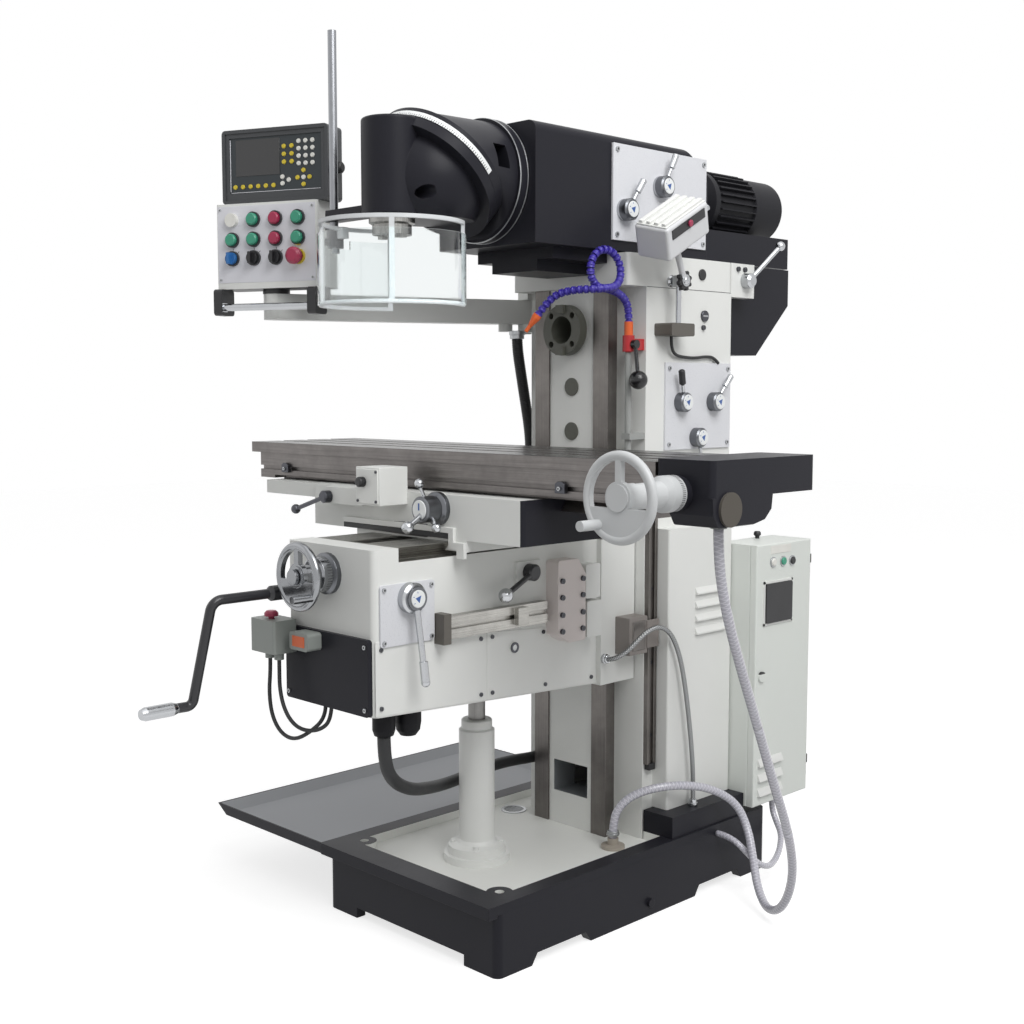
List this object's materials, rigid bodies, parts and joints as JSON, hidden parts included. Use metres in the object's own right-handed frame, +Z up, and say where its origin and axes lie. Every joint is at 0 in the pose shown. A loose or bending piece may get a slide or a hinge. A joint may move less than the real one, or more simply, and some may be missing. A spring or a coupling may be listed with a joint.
{
  "type": "milling machine",
  "caption": "Knee-type milling machine with a sliding ram, swivelling vertical head, horizontal spindle, long T-slot table, guard and swing-out control station on a pan base.",
  "frame": {"origin": "on the floor at the centre of the four foundation bolts", "axes": "+X to the operator's right along the table, +Y from the operator to the column, +Z up"},
  "size_m": [1.618, 1.988, 2.13],
  "materials": {
    "dark_paint": "satin",
    "white_paint": "satin",
    "grey_paint": "satin",
    "ground_steel": "ground",
    "chrome": "polished",
    "aluminium": "satin",
    "black_plastic": "matte",
    "clear_plastic": "clear",
    "hose_clear": "smooth",
    "hose_black": "ribbed",
    "hose_blue": "satin",
    "green": "gloss",
    "red": "gloss",
    "blue": "gloss"
  },
  "bodies": {
    "frame": {"base_casting": "dark_paint", "screw_tube": "white_paint", "column": "white_paint", "side_cover": "white_paint", "cabinet_box": "white_paint", "rear_motor_cover": "dark_paint", "lamp_bracket": "grey_paint", "coolant_fittings": "chrome", "coolant_hose": "hose_blue", "hoses_and_cables": "hose_black", "drain_hose": "hose_clear"},
    "horizontal_spindle": {"horizontal_spindle": "ground_steel"},
    "gear_lever_front": {"gear_lever_front": "chrome"},
    "gear_lever_rear": {"gear_lever_rear": "chrome"},
    "gear_lever_low": {"gear_lever_low": "chrome"},
    "door": {"cabinet_door": "white_paint"},
    "lamp": {"lamp_head": "aluminium"},
    "valve_lever": {"coolant_valve_lever": "black_plastic"},
    "ram_clamp": {"ram_clamp_lever": "chrome"},
    "knee": {"knee": "white_paint", "trip_rail": "ground_steel", "button_box": "grey_paint", "knee_hoses": "hose_black"},
    "jog_button": {"jog_button": "red"},
    "elevating_screw": {"elevating_screw": "ground_steel"},
    "crank": {"knee_crank": "black_plastic"},
    "cross_wheel": {"cross_handwheel": "chrome"},
    "feed_lever": {"feed_lever": "chrome"},
    "knee_clamp": {"knee_clamp_lever": "chrome"},
    "saddle": {"saddle": "white_paint"},
    "table_clamp": {"table_clamp_lever": "chrome"},
    "table_feed": {"table_feed_lever": "chrome"},
    "table": {"table": "ground_steel", "table_end_brackets": "dark_paint"},
    "table_wheel": {"table_handwheel": "grey_paint"},
    "table_screw": {"table_screw": "ground_steel"},
    "ram": {"ram": "dark_paint", "drive_motor": "dark_paint"},
    "speed_lever_front": {"speed_lever_front": "chrome"},
    "speed_lever_top": {"speed_lever_top": "chrome"},
    "speed_lever_rear": {"speed_lever_rear": "chrome"},
    "swivel": {"head_swivel": "dark_paint"},
    "head": {"milling_head": "dark_paint"},
    "vertical_spindle": {"vertical_spindle": "ground_steel"},
    "guard": {"guard_frame": "aluminium", "guard_shield": "clear_plastic"},
    "arm": {"control_arm": "grey_paint"},
    "panel": {"control_panel": "white_paint", "readout_unit": "black_plastic"},
    "emergency_stop": {"emergency_stop": "red"},
    "push_button_1": {"push_button_1": "green"},
    "push_button_2": {"push_button_2": "red"},
    "push_button_3": {"push_button_3": "green"},
    "push_button_4": {"push_button_4": "green"},
    "push_button_5": {"push_button_5": "green"},
    "push_button_6": {"push_button_6": "red"},
    "push_button_7": {"push_button_7": "green"},
    "selector_1": {"selector_1": "blue"},
    "selector_2": {"selector_2": "black_plastic"},
    "selector_3": {"selector_3": "black_plastic"}
  },
  "joints": [
    {"name": "knee_slide", "type": "slide", "parent": "frame", "child": "knee", "axis": [0, 0, 1], "range_m": [-0.05, 0.27], "deforming": ["knee_hoses", "drain_hose"]},
    {"name": "knee_crank", "type": "hinge", "parent": "knee", "child": "crank", "pos_m": [-0.095, -0.75, 0.857], "axis": [0, 1, 0], "range_deg": [-9001, 48601]},
    {"name": "elevating_screw", "type": "hinge", "parent": "knee", "child": "elevating_screw", "pos_m": [0, -0.285, 0.5], "axis": [0, 0, 1], "range_deg": [-16201, 3001]},
    {"name": "saddle_slide", "type": "slide", "parent": "knee", "child": "saddle", "axis": [0, 1, 0], "range_m": [-0.15, 0.1]},
    {"name": "cross_wheel", "type": "hinge", "parent": "knee", "child": "cross_wheel", "pos_m": [0, -0.78, 0.903], "axis": [0, 1, 0], "range_deg": [-9001, 6001]},
    {"name": "table_slide", "type": "slide", "parent": "saddle", "child": "table", "axis": [1, 0, 0], "range_m": [-0.295, 0.295]},
    {"name": "table_wheel", "type": "hinge", "parent": "table", "child": "table_wheel", "pos_m": [0.755, -0.6, 1.107], "axis": [0, 1, 0], "range_deg": [-17701, 17701]},
    {"name": "table_screw", "type": "hinge", "parent": "table", "child": "table_screw", "pos_m": [0, -0.283, 1.087], "axis": [1, 0, 0], "range_deg": [-17701, 17701]},
    {"name": "ram_slide", "type": "slide", "parent": "frame", "child": "ram", "axis": [0, 1, 0], "range_m": [-0.15, 0.25]},
    {"name": "head_tilt", "type": "hinge", "parent": "ram", "child": "swivel", "pos_m": [0, -0.25, 1.797], "axis": [0, 1, 0], "range_deg": [-30, 15]},
    {"name": "head_nod", "type": "hinge", "parent": "swivel", "child": "head", "pos_m": [0, -0.416, 1.797], "axis": [0, 0.7071, 0.7071], "range_deg": [0, 25]},
    {"name": "vertical_spindle", "type": "hinge", "parent": "head", "child": "vertical_spindle", "pos_m": [0, -0.542, 1.7], "axis": [0, 0, 1], "continuous": true},
    {"name": "guard_swing", "type": "hinge", "parent": "head", "child": "guard", "pos_m": [-0.193, -0.557, 1.65], "axis": [0, 0, -1], "range_deg": [0, 75]},
    {"name": "horizontal_spindle", "type": "hinge", "parent": "frame", "child": "horizontal_spindle", "pos_m": [0, 0.05, 1.455], "axis": [0, 1, 0], "continuous": true},
    {"name": "gear_lever_front", "type": "hinge", "parent": "frame", "child": "gear_lever_front", "pos_m": [0.206, 0.241, 1.272], "axis": [1, 0, 0], "range_deg": [-25, 25]},
    {"name": "gear_lever_rear", "type": "hinge", "parent": "frame", "child": "gear_lever_rear", "pos_m": [0.206, 0.377, 1.272], "axis": [1, 0, 0], "range_deg": [-25, 25]},
    {"name": "gear_lever_low", "type": "hinge", "parent": "frame", "child": "gear_lever_low", "pos_m": [0.206, 0.306, 1.18], "axis": [1, 0, 0], "range_deg": [-25, 25]},
    {"name": "speed_lever_front", "type": "hinge", "parent": "ram", "child": "speed_lever_front", "pos_m": [0.171, 0.055, 1.744], "axis": [1, 0, 0], "range_deg": [-25, 25]},
    {"name": "speed_lever_top", "type": "hinge", "parent": "ram", "child": "speed_lever_top", "pos_m": [0.171, 0.193, 1.813], "axis": [1, 0, 0], "range_deg": [-25, 25]},
    {"name": "speed_lever_rear", "type": "hinge", "parent": "ram", "child": "speed_lever_rear", "pos_m": [0.171, 0.28, 1.737], "axis": [1, 0, 0], "range_deg": [-25, 25]},
    {"name": "ram_clamp", "type": "hinge", "parent": "frame", "child": "ram_clamp", "pos_m": [0.2, 0.523, 1.595], "axis": [1, 0, 0], "range_deg": [-40, 25]},
    {"name": "door", "type": "hinge", "parent": "frame", "child": "door", "pos_m": [0.3085, 0.684, 0.5], "axis": [0, 0, 1], "range_deg": [0, 110]},
    {"name": "lamp", "type": "hinge", "parent": "frame", "child": "lamp", "pos_m": [0.244, 0.185, 1.575], "axis": [1, 0, 0], "range_deg": [-30, 40]},
    {"name": "valve_lever", "type": "hinge", "parent": "frame", "child": "valve_lever", "pos_m": [0.182, 0.064, 1.416], "axis": [1, 0, 0], "range_deg": [-90, 0]},
    {"name": "jog_button", "type": "slide", "parent": "knee", "child": "jog_button", "axis": [0, 0, -1], "range_m": [0, 0.003], "stiffness_N_per_m": 600, "springref_m": -0.003},
    {"name": "feed_lever", "type": "hinge", "parent": "knee", "child": "feed_lever", "pos_m": [0.16, -0.634, 0.856], "axis": [1, 0, 0], "range_deg": [-25, 25]},
    {"name": "knee_clamp", "type": "hinge", "parent": "knee", "child": "knee_clamp", "pos_m": [0.163, -0.269, 0.877], "axis": [1, 0, 0], "range_deg": [-35, 12]},
    {"name": "table_clamp", "type": "hinge", "parent": "saddle", "child": "table_clamp", "pos_m": [-0.26, -0.53, 1.046], "axis": [0, 1, 0], "range_deg": [-30, 30]},
    {"name": "table_feed", "type": "hinge", "parent": "saddle", "child": "table_feed", "pos_m": [0.104, -0.515, 1.038], "axis": [0, 1, 0], "range_deg": [-35, 35]},
    {"name": "arm_swing", "type": "hinge", "parent": "frame", "child": "arm", "pos_m": [-0.24, 0.13, 1.51], "axis": [0, 0, -1], "range_deg": [0, 60], "deforming": ["hoses_and_cables"]},
    {"name": "panel_swivel", "type": "hinge", "parent": "arm", "child": "panel", "pos_m": [-0.495, -0.511, 1.55], "axis": [0, 0, 1], "range_deg": [-60, 30]},
    {"name": "push_button_1", "type": "slide", "parent": "panel", "child": "push_button_1", "axis": [-0.3939, 0.9191, 0], "range_m": [0, 0.005], "stiffness_N_per_m": 500, "springref_m": -0.003},
    {"name": "push_button_2", "type": "slide", "parent": "panel", "child": "push_button_2", "axis": [-0.3939, 0.9191, 0], "range_m": [0, 0.005], "stiffness_N_per_m": 500, "springref_m": -0.003},
    {"name": "push_button_3", "type": "slide", "parent": "panel", "child": "push_button_3", "axis": [-0.3939, 0.9191, 0], "range_m": [0, 0.005], "stiffness_N_per_m": 500, "springref_m": -0.003},
    {"name": "push_button_4", "type": "slide", "parent": "panel", "child": "push_button_4", "axis": [-0.3939, 0.9191, 0], "range_m": [0, 0.005], "stiffness_N_per_m": 500, "springref_m": -0.003},
    {"name": "push_button_5", "type": "slide", "parent": "panel", "child": "push_button_5", "axis": [-0.3939, 0.9191, 0], "range_m": [0, 0.005], "stiffness_N_per_m": 500, "springref_m": -0.003},
    {"name": "push_button_6", "type": "slide", "parent": "panel", "child": "push_button_6", "axis": [-0.3939, 0.9191, 0], "range_m": [0, 0.005], "stiffness_N_per_m": 500, "springref_m": -0.003},
    {"name": "push_button_7", "type": "slide", "parent": "panel", "child": "push_button_7", "axis": [-0.3939, 0.9191, 0], "range_m": [0, 0.005], "stiffness_N_per_m": 500, "springref_m": -0.003},
    {"name": "selector_1", "type": "hinge", "parent": "panel", "child": "selector_1", "pos_m": [-0.56551, -0.59018, 1.632], "axis": [-0.3939, 0.9191, 0], "range_deg": [-45, 45]},
    {"name": "selector_2", "type": "hinge", "parent": "panel", "child": "selector_2", "pos_m": [-0.50852, -0.56576, 1.632], "axis": [-0.3939, 0.9191, 0], "range_deg": [-45, 45]},
    {"name": "selector_3", "type": "hinge", "parent": "panel", "child": "selector_3", "pos_m": [-0.4497, -0.54054, 1.632], "axis": [-0.3939, 0.9191, 0], "range_deg": [-45, 45]},
    {"name": "emergency_stop", "type": "slide", "parent": "panel", "child": "emergency_stop", "axis": [-0.3939, 0.9191, 0], "range_m": [0, 0.0025], "stiffness_N_per_m": 800, "springref_m": -0.003}
  ],
  "couplings": [
    {"joint": "knee_crank", "follows": "knee_slide", "rad_per_m": 3141.6},
    {"joint": "elevating_screw", "follows": "knee_slide", "rad_per_m": -1047.2},
    {"joint": "cross_wheel", "follows": "saddle_slide", "rad_per_m": 1047.2},
    {"joint": "table_wheel", "follows": "table_slide", "rad_per_m": 1047.2},
    {"joint": "table_screw", "follows": "table_slide", "rad_per_m": 1047.2}
  ]
}
